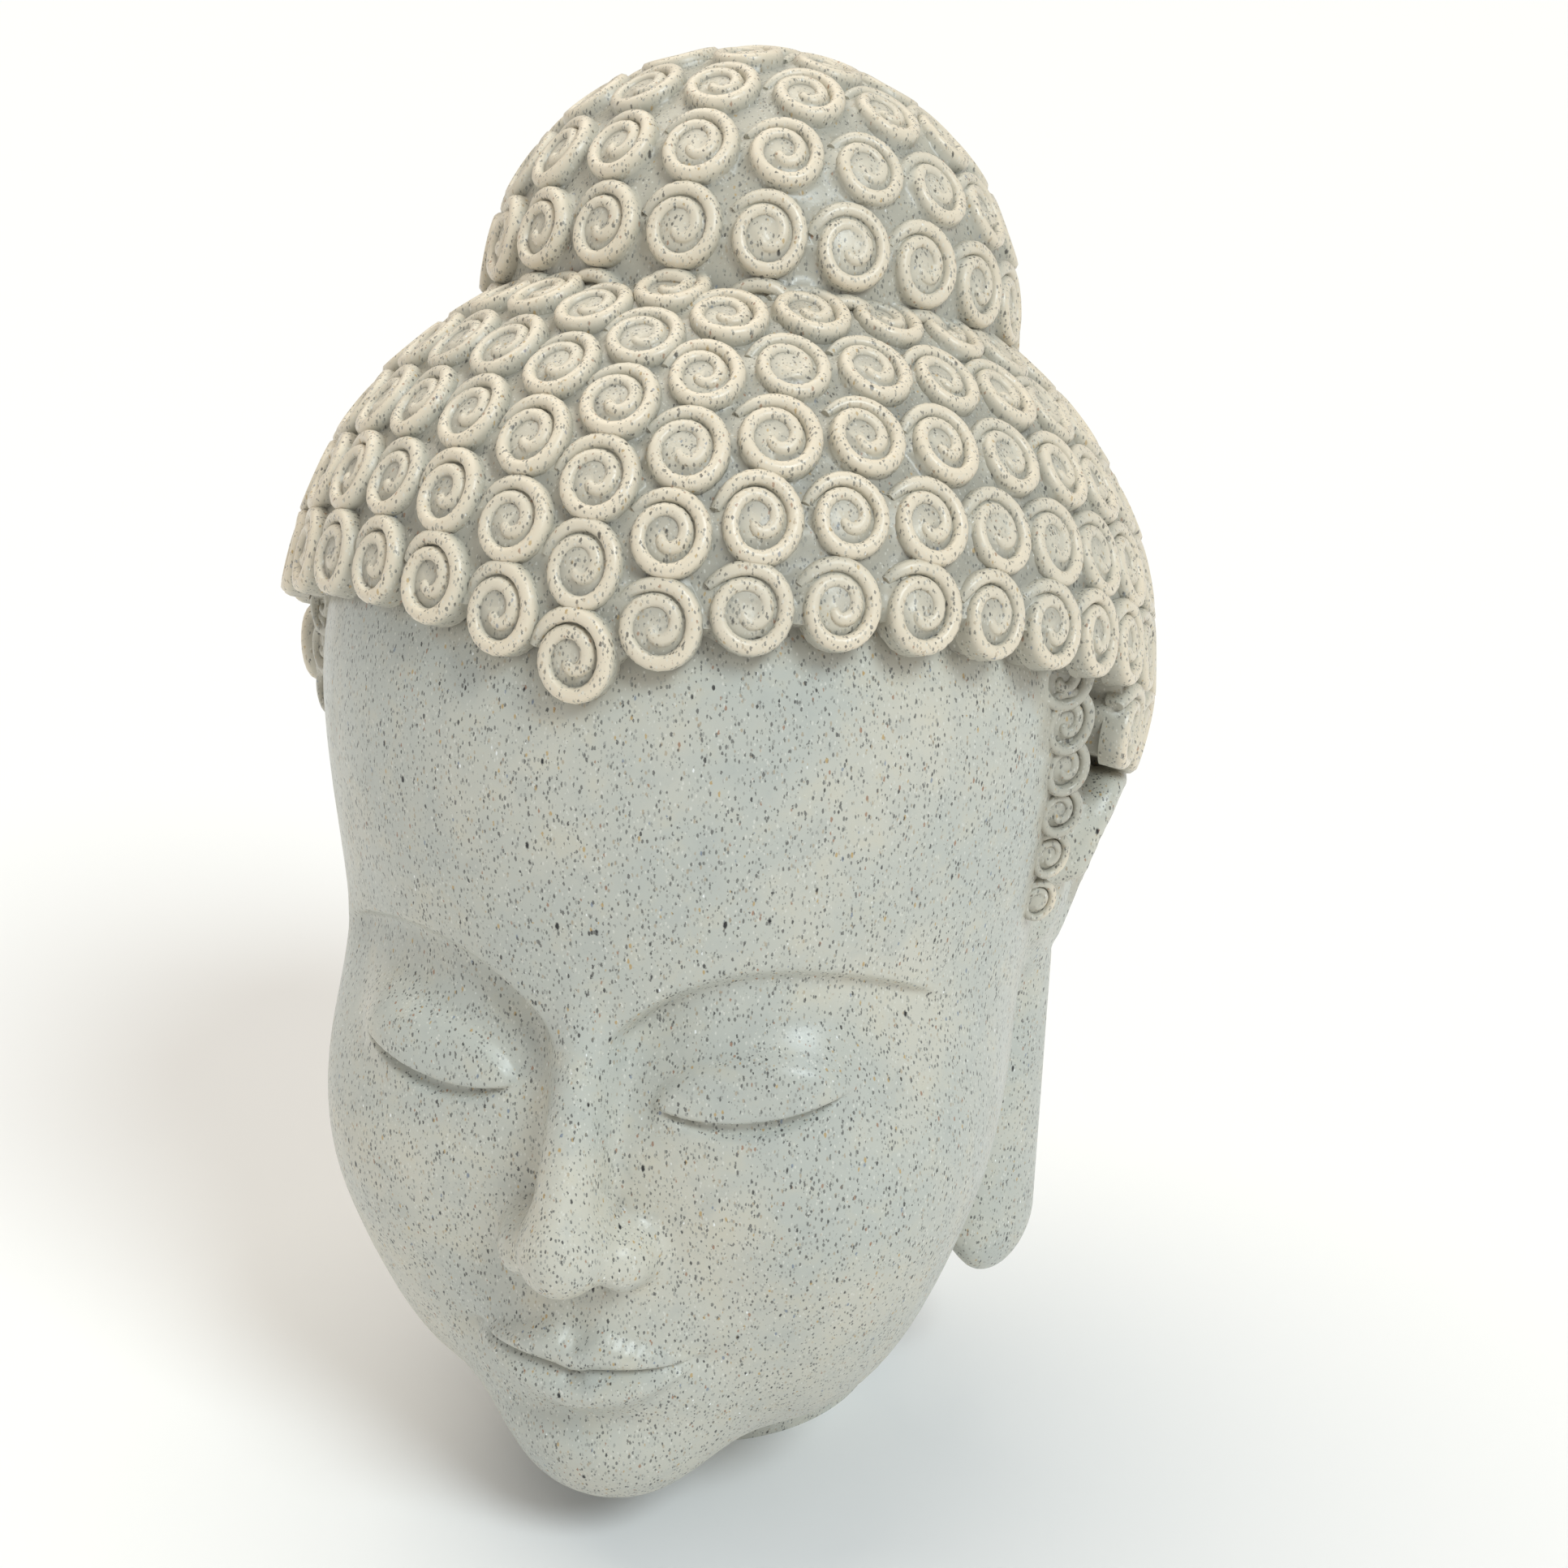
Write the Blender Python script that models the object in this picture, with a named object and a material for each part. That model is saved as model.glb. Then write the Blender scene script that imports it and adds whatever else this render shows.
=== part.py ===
"""A Buddha's head cast in one piece of speckled stone.

Face, ears, neck, rows of snail-shell curls and the bun on the crown are one casting,
cut flat under the neck. The face looks along -Y, and the middle of the flat cut is
the origin.
"""
import math

import bmesh
import bpy
import numpy as np

# Driving sizes, in metres
HEIGHT = 0.306          # flat cut of the neck to the top of the bun
NECK_WIDTH = 0.0790     # the flat cut from side to side
NECK_DEPTH = 0.0870     # the flat cut from front to back
NECK_SET_BACK = 0.009   # the neck's axis behind the middle of the head
CURL_ACROSS = 0.0166    # one full-size curl, which is also the pitch along a row
CURL_RISE = 0.0044      # how far a curl stands above the scalp
EAR_STANDS = 0.0070     # how far the rim of an ear stands off the head

# The carving is set out in parts, as a sculptor's grid: 306 parts make the height
PARTS = 306
PART = HEIGHT / PARTS

# Scalp and bun, in parts: middle, half-axes, and how far each leans back in degrees
SCALP_MIDDLE = np.array([0.0, 6.7, 180.3])
SCALP_RADII = np.array([91.0, 101.0, 82.0])
SCALP_LEAN = 20.5
BUN_MIDDLE = np.array([0.0, 21.1, 250.3])
BUN_RADII = np.array([55.0, 55.5, 51.7])
BUN_LEAN = 19.9

# Rows of curls, by latitude on the scalp or bun in degrees
ROW_STEP = 11.2
FIRST_ROW = 4.2         # the hairline row at the sides
FRONT_DIP = 13.3        # how far the rows dip over the middle of the forehead
TOP_ROWS = 6
LOW_ROW_STARTS = (84, 106, 112, 119)    # azimuth where each row below the first begins
BUN_ROWS = (-14, 5, 24, 43, 62, 81)
TEMPLE_CURLS = 6        # the short tail of small curls before each ear

HEART = np.array([0.0, 0.0, 115.0])     # every part of the skin is in plain sight of it
SKIN_TRIANGLES = 4200
FEATURE_WEIGHT = 0.35   # how readily eyes, nose and mouth are thinned out
FEATURE_CARE = 0.004
CREST_SHARE = 0.27      # the crest of a curl from its middle, as a share of its width
GROOVE_DEPTH = 0.6      # the valleys between curls, below the scalp, in parts
SKIRT_DEPTH = 6.0       # the outer edge of the hair, which ends in the skin
BURIED = 24.0           # where no hair grows the form runs this deep inside the head


def lean(points, degrees):
    """Turn points back about the X axis."""
    c, s = math.cos(math.radians(degrees)), math.sin(math.radians(degrees))
    x, y, z = points[:, 0], points[:, 1], points[:, 2]
    return np.stack([x, y * c + z * s, z * c - y * s], axis=1)


def ellipsoid(p, middle, radii, lean_back=0.0):
    """Roughly the distance from an ellipsoid, below zero inside."""
    q = lean(p - np.array(middle, float), -lean_back)
    r = np.array(radii, float)
    near = np.linalg.norm(q / r, axis=1)
    steep = np.linalg.norm(q / (r * r), axis=1)
    return near * (near - 1) / np.maximum(steep, 1e-9)


def rod(p, start, end, start_radius, end_radius, squeeze=(1, 1, 1)):
    """Distance from a tapered round rod, thinner along each axis by its squeeze."""
    s = np.array(squeeze, float)
    a = np.array(start, float) * s
    d = np.array(end, float) * s - a
    q = p * s - a
    t = np.clip(q @ d / (d @ d), 0, 1)
    radius = start_radius + (end_radius - start_radius) * t
    return (np.linalg.norm(q - t[:, None] * d, axis=1) - radius) / s.max()


def join(a, b, soft):
    """Union of two forms with a soft fillet between them."""
    t = np.clip(0.5 + 0.5 * (b - a) / soft, 0, 1)
    return b * (1 - t) + a * t - soft * t * (1 - t)


def carve(a, b, soft):
    """Form a with form b taken out of it."""
    return -join(-a, b, soft)


def ramp(v, soft):
    """Nought to one through zero, over about four times soft."""
    return 1 / (1 + np.exp(-np.clip(v / soft, -30, 30)))


def hump(v):
    """A bell of height one at zero."""
    return np.exp(-v * v)


def head_form(m):
    """Skull, cheeks, jaw, chin and muzzle without any features."""
    f = ellipsoid(m, SCALP_MIDDLE, (83, 98, 79), SCALP_LEAN)
    f = join(f, ellipsoid(m, (0, -10, 166), (76, 82, 66)), 16)
    f = join(f, ellipsoid(m, (0, -20, 106), (73, 69, 92)), 22)
    f = join(f, ellipsoid(m, (36, -50, 86), (29, 31, 36)), 24)
    f = join(f, ellipsoid(m, (26, -40, 50), (26, 30, 28)), 22)
    f = join(f, ellipsoid(m, (0, -67, 30.5), (23, 20.5, 20)), 16)
    return join(f, ellipsoid(m, (0, -64, 56), (28, 25, 24)), 18)


def neck_form(m):
    """The neck, which tapers to the flat cut and has a slightly rounded rim."""
    up = np.clip(m[:, 2], -30, 70)
    half_width = NECK_WIDTH / 2 / PART + 13 * (1 - np.exp(-up / 38))
    half_depth = half_width * NECK_DEPTH / NECK_WIDTH
    back = m[:, 1] - NECK_SET_BACK / PART
    round_it = (np.hypot(m[:, 0] / half_width, back / half_depth) - 1) * half_width
    return np.maximum(round_it, m[:, 2] - 110)


def brow_line(x):
    """Height of the brow's edge, an arch from the nose to the temple."""
    return 140 - np.where(x < 35, 14 * ((35 - x) / 28) ** 2, 11 * ((x - 35) / 29) ** 2)


def eye_relief(x, z):
    """Brow hollow, heavy upper lid, the narrow sight under it and the lower lid."""
    below = brow_line(x) - z
    along = ramp(x - 7, 1.2) * ramp(61 - x, 2.2)
    deep = 2.6 + 3.2 * hump((x - 13) / 9)
    h = -deep * along * ramp(below, 0.75) * hump(np.maximum(below, 0) / 17)
    s = (x - 33) / 18.5
    opening = np.clip(1 - s * s, 0, 1)
    edge = 110.4 + 2.0 * s + 3.4 * s * s
    low = edge - 2.9 * opening ** 1.1
    crease = edge + 1.2 + 11.5 * opening ** 0.8
    inside = ramp(1 - np.abs(s), 0.035)
    h += 1.7 * inside * ramp(z - edge, 0.28) * ramp(crease - z, 0.7)
    h += 0.9 * inside * ramp(low - z, 0.3) * hump(np.maximum(low - z, 0) / 4.5)
    return h - 0.9 * inside * ramp(edge - z, 0.28) * ramp(z - low, 0.3)


def mouth_relief(x, z):
    """Full closed lips with the groove above them and the hollow over the chin."""
    h = -1.1 * hump(x / 3.2) * ramp(z - 61.5, 1.2) * ramp(72 - z, 1.5)
    h -= 3.0 * hump(x / 15) * hump((z - 38.0) / 5.5)
    u = np.clip(x / 24.0, 0, 1)
    line = 53.0 + 2.0 * u * u - 0.9 * hump(u / 0.14)
    top = line + 8.4 * (1 - u ** 1.6) - 1.5 * hump(u / 0.13) + 0.5 * hump((u - 0.26) / 0.14)
    bottom = line - 9.8 * (1 - u ** 2.2)
    over = np.clip((z - line) / np.maximum(top - line, 0.5), 0, 1.6)
    under = np.clip((line - z) / np.maximum(line - bottom, 0.5), 0, 1.6)
    fade = np.clip(1 - u ** 3, 0, 1)
    upper = 3.4 * fade * ramp(1.0 - over, 0.10) * (1 - hump(over / 0.30) * 0.55)
    lower = 4.2 * fade * ramp(0.92 - under, 0.14) * (1 - hump(under / 0.30) * 0.55)
    h += np.where(z > line, upper, lower)
    h -= 1.2 * hump((z - line) / 1.0) * ramp(24.5 - x, 1.2)
    return h - 1.1 * hump((x - 26.0) / 4.5) * hump((z - 55.2) / 5.0)


def nose_form(m):
    """A straight nose with a soft ridge, a round tip and small wings."""
    f = rod(m, (0, -80, 134), (0, -96.5, 87), 7.6, 11.2, (1.6, 1, 1))
    f = join(f, ellipsoid(m, (0, -97.5, 84.0), (9.4, 10.6, 8.8)), 4)
    return join(f, ellipsoid(m, (10.2, -89.5, 80.4), (6.2, 9.4, 7.2)), 3.2)


def ear_arc(q, reach, drop, radius, inset):
    """A round ridge along the curve of the upper ear, from front top to back bottom."""
    bend = np.radians(np.linspace(168, -62, 11))
    y = 9.5 + reach * np.cos(bend)
    z = 136 + drop * np.sin(bend)
    x = 80.5 - inset + 0.33 * (z - 136)
    knots = np.stack([x, y, z], axis=1)
    f = rod(q, knots[0], knots[1], radius, radius)
    for one, other in zip(knots[1:], knots[2:]):
        f = np.minimum(f, rod(q, one, other, radius, radius))
    return f


def ear_form(m):
    """Rim, inner ridge, hollow and the long smooth lobe of an ear."""
    q = m - np.array([EAR_STANDS / PART - 7, 0, 0])
    plate = rod(q, (78, 9.5, 146), (71, 9.5, 120), 14.0, 10.5, (2.1, 1, 1))
    f = join(plate, ear_arc(q, 13.0, 20.5, 3.5, 0), 1.5)
    f = carve(f, ellipsoid(q, (86.0, 8.5, 137), (8.0, 8.5, 14)), 2)
    f = join(f, ear_arc(q, 6.5, 13.5, 2.1, 2.6), 1.5)
    f = join(f, rod(q, (75.5, 0, 131), (74.0, -1, 124), 3.6, 3.2), 2.5)
    # the lobe's broad face looks outward and a little to the front
    turn = math.radians(24)
    across = q[:, 0] * math.sin(turn) + q[:, 1] * math.cos(turn)
    through = q[:, 0] * math.cos(turn) - q[:, 1] * math.sin(turn)
    flat = np.stack([through, across, q[:, 2]], axis=1)
    lobe = rod(flat, (61.0, 37.0, 112), (58.5, 35.0, 48), 9.5, 14.0, (2.3, 1, 1))
    return join(f, lobe, 2.0)


def skin_form(p):
    """The whole bald head with its features, by distance from its surface."""
    m = np.stack([np.abs(p[:, 0]), p[:, 1], p[:, 2]], axis=1)
    f = join(head_form(m), neck_form(m), 12)
    f = join(f, ellipsoid(m, (51, 14, 78), (14, 15, 42)), 10)
    f = join(f, ellipsoid(m, (33, -64.5, 117), (21.5, 19.5, 17.0)), 2.5)
    front = ramp(-30 - m[:, 1], 3.0)
    f = f - front * (eye_relief(m[:, 0], m[:, 2]) + mouth_relief(m[:, 0], m[:, 2]))
    f = join(f, nose_form(m), 4.5)
    f = carve(f, ellipsoid(m, (6.0, -94.0, 72.8), (3.2, 6.0, 3.0)), 1.6)
    return join(f, ear_form(m), 2.5)


def cast(heart, directions, form, far=190.0, steps=40):
    """Where straight lines toward the heart first meet a form."""
    reach = np.full(len(directions), far)
    for _ in range(steps):
        reach -= 0.85 * form(heart + directions * reach[:, None])
    return heart + directions * reach[:, None]


def to_metres(points):
    """From parts about the middle of the head to metres about the neck's axis."""
    return (points * PART - np.array([0, NECK_SET_BACK, 0])).tolist()


def skin_mesh(half=150, rows=280):
    """The bald head as a fine grid of cast points, closest together on the face."""
    u = np.linspace(0, 1, half + 1)
    azimuth = math.pi * (0.5 * u + 0.5 * u ** 3)
    polar = np.linspace(0, math.pi, rows + 2)[1:-1]
    a, b = np.meshgrid(azimuth, polar)
    grid = np.stack([np.sin(b) * np.sin(a), -np.sin(b) * np.cos(a), np.cos(b)], axis=-1)
    right = cast(HEART, grid.reshape(-1, 3), skin_form).reshape(rows, half + 1, 3)
    left = right[:, half - 1:0:-1] * np.array([-1, 1, 1])
    points = np.concatenate([right, left], axis=1)
    rounds = points.shape[1]
    bm = bmesh.new()
    verts = [bm.verts.new(co) for co in to_metres(points.reshape(-1, 3))]
    for i in range(rows - 1):
        for j in range(rounds):
            k = (j + 1) % rounds
            corners = (i * rounds + j, (i + 1) * rounds + j,
                       (i + 1) * rounds + k, i * rounds + k)
            bm.faces.new([verts[c] for c in corners])
    bm.faces.new(verts[:rounds])
    bm.faces.new(verts[-rounds:][::-1])
    bmesh.ops.triangulate(bm, faces=bm.faces[:])
    mesh = bpy.data.meshes.new("skin")
    bm.to_mesh(mesh)
    bm.free()
    return mesh


def thin_out(mesh, triangles):
    """The same mesh with its flat stretches in fewer, larger triangles."""
    full = bpy.data.objects.new("full", mesh)
    bpy.context.scene.collection.objects.link(full)
    fewer = full.modifiers.new("fewer", "DECIMATE")
    fewer.ratio = triangles / len(mesh.polygons)
    fewer.use_collapse_triangulate = True
    fewer.use_symmetry = True
    fewer.symmetry_axis = "X"
    places = np.array([v.co for v in mesh.vertices]) / PART
    features = np.hypot(places[:, 0] / 58, (places[:, 2] - 92) / 52) < 1
    features &= places[:, 1] < -40
    plain = full.vertex_groups.new(name="plain")
    plain.add(np.flatnonzero(~features).tolist(), 1.0, "REPLACE")
    plain.add(np.flatnonzero(features).tolist(), FEATURE_WEIGHT, "REPLACE")
    fewer.vertex_group = plain.name
    fewer.vertex_group_factor = FEATURE_CARE
    seen = full.evaluated_get(bpy.context.evaluated_depsgraph_get())
    thin = bpy.data.meshes.new_from_object(seen)
    bpy.data.objects.remove(full)
    return thin


def cut_flat(mesh):
    """Take off what lies below the neck's cut and close it with one flat face."""
    bm = bmesh.new()
    bm.from_mesh(mesh)
    geometry = bm.verts[:] + bm.edges[:] + bm.faces[:]
    cut = bmesh.ops.bisect_plane(bm, geom=geometry, dist=1e-6, plane_co=(0, 0, 0),
                                 plane_no=(0, 0, 1), clear_inner=True)
    rim = [e for e in cut["geom_cut"] if isinstance(e, bmesh.types.BMEdge)]
    bmesh.ops.contextual_create(bm, geom=rim)
    bmesh.ops.recalc_face_normals(bm, faces=bm.faces[:])
    bm.to_mesh(mesh)
    bm.free()


def on_ellipsoid(azimuth, latitude, middle, radii, lean_back):
    """Points and outward normals at angles in degrees, azimuth from the front."""
    a, b = np.radians(azimuth), np.radians(latitude)
    unit = np.stack([np.cos(b) * np.sin(a), -np.cos(b) * np.cos(a), np.sin(b)], axis=1)
    normal = unit / radii
    normal /= np.linalg.norm(normal, axis=1)[:, None]
    return middle + lean(unit * radii, lean_back), lean(normal, lean_back)


def hairline(azimuth):
    """Latitude of the first row: level round the head, dipping over the forehead."""
    off = np.abs((azimuth + 180) % 360 - 180)
    return FIRST_ROW - FRONT_DIP * np.exp(-off / 20.0)


def row_places(start, latitude_at, middle, radii, lean_back):
    """Evenly pitched azimuths along a row, from start round the back to minus start."""
    fine = np.linspace(start, 360 - start, 1441)
    points, _ = on_ellipsoid(fine, latitude_at(fine), middle, radii, lean_back)
    run = np.concatenate([[0], np.cumsum(np.linalg.norm(np.diff(points, axis=0), axis=1))])
    count = max(2, round(run[-1] / (CURL_ACROSS / PART)))
    stops = np.linspace(0, run[-1], count + 1)
    if start == 0:
        stops = stops[:-1]
    return np.interp(stops, run, fine)


def scalp_curls():
    """Middle, normal and size of every curl on the scalp."""
    shape = (SCALP_MIDDLE, SCALP_RADII, SCALP_LEAN)
    places, normals = [], []
    for row in range(-len(LOW_ROW_STARTS), TOP_ROWS):
        start = 0 if row >= 0 else LOW_ROW_STARTS[-row - 1]
        raised = row * ROW_STEP

        def latitude_at(azimuth):
            return hairline(azimuth) + raised

        azimuth = row_places(start, latitude_at, *shape)
        middle, normal = on_ellipsoid(azimuth, latitude_at(azimuth), *shape)
        clear = ellipsoid(middle, BUN_MIDDLE, BUN_RADII, BUN_LEAN) > -1.0
        places.append(middle[clear])
        normals.append(normal[clear])
    places, normals = np.concatenate(places), np.concatenate(normals)
    return places, normals, np.full(len(places), CURL_ACROSS / PART)


def temple_curls():
    """The small curls that run down before each ear."""
    t = np.linspace(0, 1, TEMPLE_CURLS)
    azimuth = 69 + 14 * t
    latitude = -2 - 33 * t
    toward, _ = on_ellipsoid(azimuth, latitude, np.zeros(3), SCALP_RADII, SCALP_LEAN)
    toward /= np.linalg.norm(toward, axis=1)[:, None]
    middle = cast(SCALP_MIDDLE, toward, skin_form)
    normal = toward * np.array([1, 0.6, 0.2])
    normal /= np.linalg.norm(normal, axis=1)[:, None]
    size = (0.80 - 0.30 * t) * CURL_ACROSS / PART
    mirror = np.array([-1, 1, 1])
    return (np.concatenate([middle, middle * mirror]),
            np.concatenate([normal, normal * mirror]), np.concatenate([size, size]))


def bun_curls():
    """Middle, normal and size of every curl on the bun."""
    shape = (BUN_MIDDLE, BUN_RADII, BUN_LEAN)
    places, normals = [], []
    for latitude in BUN_ROWS:

        def latitude_at(azimuth):
            return np.full(len(azimuth), float(latitude))

        azimuth = row_places(0, latitude_at, *shape)
        middle, normal = on_ellipsoid(azimuth, latitude_at(azimuth), *shape)
        places.append(middle)
        normals.append(normal)
    places, normals = np.concatenate(places), np.concatenate(normals)
    return places, normals, np.full(len(places), CURL_ACROSS / PART)


def bare_places(middle, size, shape):
    """Places at curl pitch all over the scalp or bun where no curl grows."""
    azimuth, latitude = [], []
    for row in range(-80, 90, 10):
        around = max(3, round(36 * math.cos(math.radians(row))))
        azimuth += [360 * (k + row % 20 / 20) / around for k in range(around)]
        latitude += [row] * around
    place, normal = on_ellipsoid(np.array(azimuth), np.array(latitude), *shape)
    apart = np.linalg.norm(place[:, None] - middle[None], axis=2)
    bare = (apart - 0.5 * size).min(axis=1) > 0.5 * CURL_ACROSS / PART
    return place[bare], normal[bare]


def curl_mesh(name, curls, shape):
    """One closed form: a raised, dimpled cell for each curl, sunk where none grows."""
    middle, normal, size = curls
    bare, bare_normal = bare_places(middle, size, shape)
    place = np.concatenate([middle, bare])
    outward = np.concatenate([normal, bare_normal])
    toward = place - shape[0]
    toward /= np.linalg.norm(toward, axis=1)[:, None]
    net = bmesh.new()
    for co in toward:
        net.verts.new(co)
    net.verts.index_update()
    number = {v: v.index for v in net.verts}
    bmesh.ops.convex_hull(net, input=net.verts[:])
    bmesh.ops.triangulate(net, faces=net.faces[:])
    bm = bmesh.new()
    valleys, flat_valleys = {}, {}
    for face in net.faces:
        corners = [number[v] for v in face.verts]
        grown = sum(c < len(middle) for c in corners)
        depth = (BURIED, SKIRT_DEPTH, SKIRT_DEPTH, GROOVE_DEPTH)[grown]
        inward = outward[corners].mean(axis=0)
        flat_valleys[face] = place[corners].mean(axis=0)
        valleys[face] = bm.verts.new((flat_valleys[face] - depth * inward).tolist())
    for vert in net.verts:
        k = number[vert]
        east = np.cross(outward[k], np.array([0.31, 0.22, 0.92]))
        north = np.cross(outward[k], east)
        around = sorted(vert.link_faces, key=lambda f: math.atan2(
            (flat_valleys[f] - place[k]) @ north, (flat_valleys[f] - place[k]) @ east))
        pairs = list(zip(around, around[1:] + around[:1]))
        if k >= len(middle):
            hub = bm.verts.new((place[k] - BURIED * outward[k]).tolist())
            for one, other in pairs:
                bm.faces.new((hub, valleys[one], valleys[other]))
            continue
        rise = CURL_RISE / CURL_ACROSS * size[k]
        hub = bm.verts.new((place[k] + 0.35 * rise * outward[k]).tolist())
        crest = {}
        for f in around:
            arm = flat_valleys[f] - place[k]
            arm *= CREST_SHARE * size[k] / np.linalg.norm(arm)
            crest[f] = bm.verts.new((place[k] + arm + rise * outward[k]).tolist())
        for one, other in pairs:
            bm.faces.new((hub, crest[one], crest[other]))
            bm.faces.new((crest[one], valleys[one], valleys[other]))
            bm.faces.new((crest[one], valleys[other], crest[other]))
    net.free()
    for vert, co in zip(bm.verts, to_metres(np.array([v.co for v in bm.verts]))):
        vert.co = co
    bmesh.ops.recalc_face_normals(bm, faces=bm.faces[:])
    mesh = bpy.data.meshes.new(name)
    bm.to_mesh(mesh)
    bm.free()
    return mesh


def guide(name, mesh):
    """A form that only serves to build the casting."""
    obj = bpy.data.objects.new(name, mesh)
    obj.hide_render = True
    obj.display_type = "WIRE"
    bpy.context.scene.collection.objects.link(obj)
    return obj


def hair_forms():
    """The scalp's curls and the bun's curls, each as one closed form."""
    scalp = [np.concatenate(pair) for pair in zip(scalp_curls(), temple_curls())]
    shape = (SCALP_MIDDLE, SCALP_RADII, SCALP_LEAN)
    hair = curl_mesh("hair", scalp, shape)
    shape = (BUN_MIDDLE, BUN_RADII, BUN_LEAN)
    bun = curl_mesh("bun", bun_curls(), shape)
    return guide("hair_form", hair), guide("bun_form", bun)


def cast_stone():
    """Off-white stone composite with a soft sheen."""
    material = bpy.data.materials.new("speckled cast stone")
    material.use_nodes = True
    shader = material.node_tree.nodes["Principled BSDF"]
    shader.inputs["Base Color"].default_value = (0.55, 0.54, 0.47, 1)
    shader.inputs["Roughness"].default_value = 0.55
    shader.inputs["Metallic"].default_value = 0.0
    return material


def buddha_head():
    """The casting: the bald head with the hair and the bun joined to it."""
    mesh = thin_out(skin_mesh(), SKIN_TRIANGLES)
    cut_flat(mesh)
    mesh.name = "buddha_head"
    head = bpy.data.objects.new("buddha_head", mesh)
    bpy.context.scene.collection.objects.link(head)
    for form in hair_forms():
        union = head.modifiers.new(form.name, "BOOLEAN")
        union.operation = "UNION"
        union.solver = "MANIFOLD"   # EXACT leaves open edges in the crease under the bun
        union.object = form
    mesh.materials.append(cast_stone())
    mesh.shade_smooth()
    mesh.set_sharp_from_angle(angle=math.radians(35))


for old in list(bpy.data.objects):
    bpy.data.objects.remove(old)
buddha_head()
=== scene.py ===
"""A Buddha's head cast in one piece of speckled stone, on a plain pale floor.

The casting keeps the form of the CAD solid. What is added here is the wound coil of
each snail-shell curl, the finely carved skin and the stone itself.
"""
import math
import random

import bmesh
import bpy
import numpy as np
from mathutils import Matrix, Vector, kdtree


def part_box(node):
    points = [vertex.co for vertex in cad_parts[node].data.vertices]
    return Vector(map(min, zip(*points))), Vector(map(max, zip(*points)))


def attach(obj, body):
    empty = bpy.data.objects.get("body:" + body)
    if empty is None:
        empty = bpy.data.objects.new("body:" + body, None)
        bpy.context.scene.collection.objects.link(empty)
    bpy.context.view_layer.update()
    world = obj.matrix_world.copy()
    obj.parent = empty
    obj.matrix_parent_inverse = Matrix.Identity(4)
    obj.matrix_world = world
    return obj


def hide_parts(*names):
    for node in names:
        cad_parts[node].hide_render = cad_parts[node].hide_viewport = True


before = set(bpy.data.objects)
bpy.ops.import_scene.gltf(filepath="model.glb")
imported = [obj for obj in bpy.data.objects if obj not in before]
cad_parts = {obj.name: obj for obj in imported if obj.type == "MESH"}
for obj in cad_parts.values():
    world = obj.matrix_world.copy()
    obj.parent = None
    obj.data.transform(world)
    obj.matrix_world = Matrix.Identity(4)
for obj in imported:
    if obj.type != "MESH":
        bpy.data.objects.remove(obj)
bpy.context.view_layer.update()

# The carving is set out in parts of the height, 306 from the cut to the top of the bun
PARTS = 306
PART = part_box("buddha_head")[1][2] / PARTS
NECK_WIDTH = 79.0
NECK_DEPTH = 87.0
NECK_SET_BACK = 9.0         # the neck's middle, behind the middle of the head
CURL_ACROSS = 16.6
CURL_RISE = 4.4
EAR_STANDS = 7.0            # how far the ears stand out

# Scalp and bun: middle, half-axes, and how far each leans back in degrees
SCALP_MIDDLE = np.array([0.0, 6.7, 180.3])
SCALP_RADII = np.array([91.0, 101.0, 82.0])
SCALP_LEAN = 20.5
BUN_MIDDLE = np.array([0.0, 21.1, 250.3])
BUN_RADII = np.array([55.0, 55.5, 51.7])
BUN_LEAN = 19.9
SCALP = (SCALP_MIDDLE, SCALP_RADII, SCALP_LEAN)
BUN = (BUN_MIDDLE, BUN_RADII, BUN_LEAN)

# Rows of curls, by latitude on the scalp or bun in degrees
ROW_STEP = 11.2
FIRST_ROW = 4.2
FRONT_DIP = 13.3
TOP_ROWS = 6
LOW_ROW_STARTS = (84, 106, 112, 119)    # azimuth where each row under the first starts
BUN_ROWS = (-14, 5, 24, 43, 62, 81)

# Temple curls: how many, then the azimuth, latitude and size of the first one, each
# with its change to the last one
TEMPLE_CURLS = 6
TEMPLE_AZIMUTH = (69, 14)
TEMPLE_LATITUDE = (-2, -33)
TEMPLE_SIZE = (0.88, -0.32)

# One wound coil, in shares of its curl's radius
TURNS = 1.80
INNER_REACH = 0.15          # where the coil ends, from the middle
OUTER_REACH = 0.84          # centreline of the outer turn
WIND_IN = 1.7               # above 1 the outer turn stays round and the inner one winds in
TAIL_FLARE = 0.10           # the loose end starts outside the circle
TAIL_TURN = 0.055           # and joins it over this share of a turn
COIL_WIDTHS = ((0.0, 0.5, 1.0, 1.25, 1.55, 1.8),        # half the coil's width, by turn
               (0.205, 0.19, 0.175, 0.172, 0.195, 0.145))
COIL_START = 160.0          # where the loose end lies, in degrees, about ten o'clock
COIL_DROP = 0.05            # a winding-in coil sits high, so it is shifted down
CENTRE_DIP = 0.20           # how much lower the middle of a curl stands
COIL_ROOT = -1.8            # the underside of a coil, in parts from the scalp
BED_RISE = 0.9              # the ground between curls
BOSS_RISE = 2.1             # the low boss that fills the grooves of a curl
COIL_SPREAD = (1.05, 1.17)  # the coils overlap a little along and across the rows
COIL_GAP = 1.38             # coils this far apart, in radii, never touch

# Section and tip of a coil, in shares of its half width and in degrees
COIL_SIDES = np.array([-1, -1, -0.8, -0.38, 0.38, 0.8, 1, 1])
COIL_FALL = np.array([0, 1.05, 0.42, 0.06, 0.06, 0.42, 1.05, 0])
COIL_TIP = np.radians([35, 62, 82])

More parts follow.
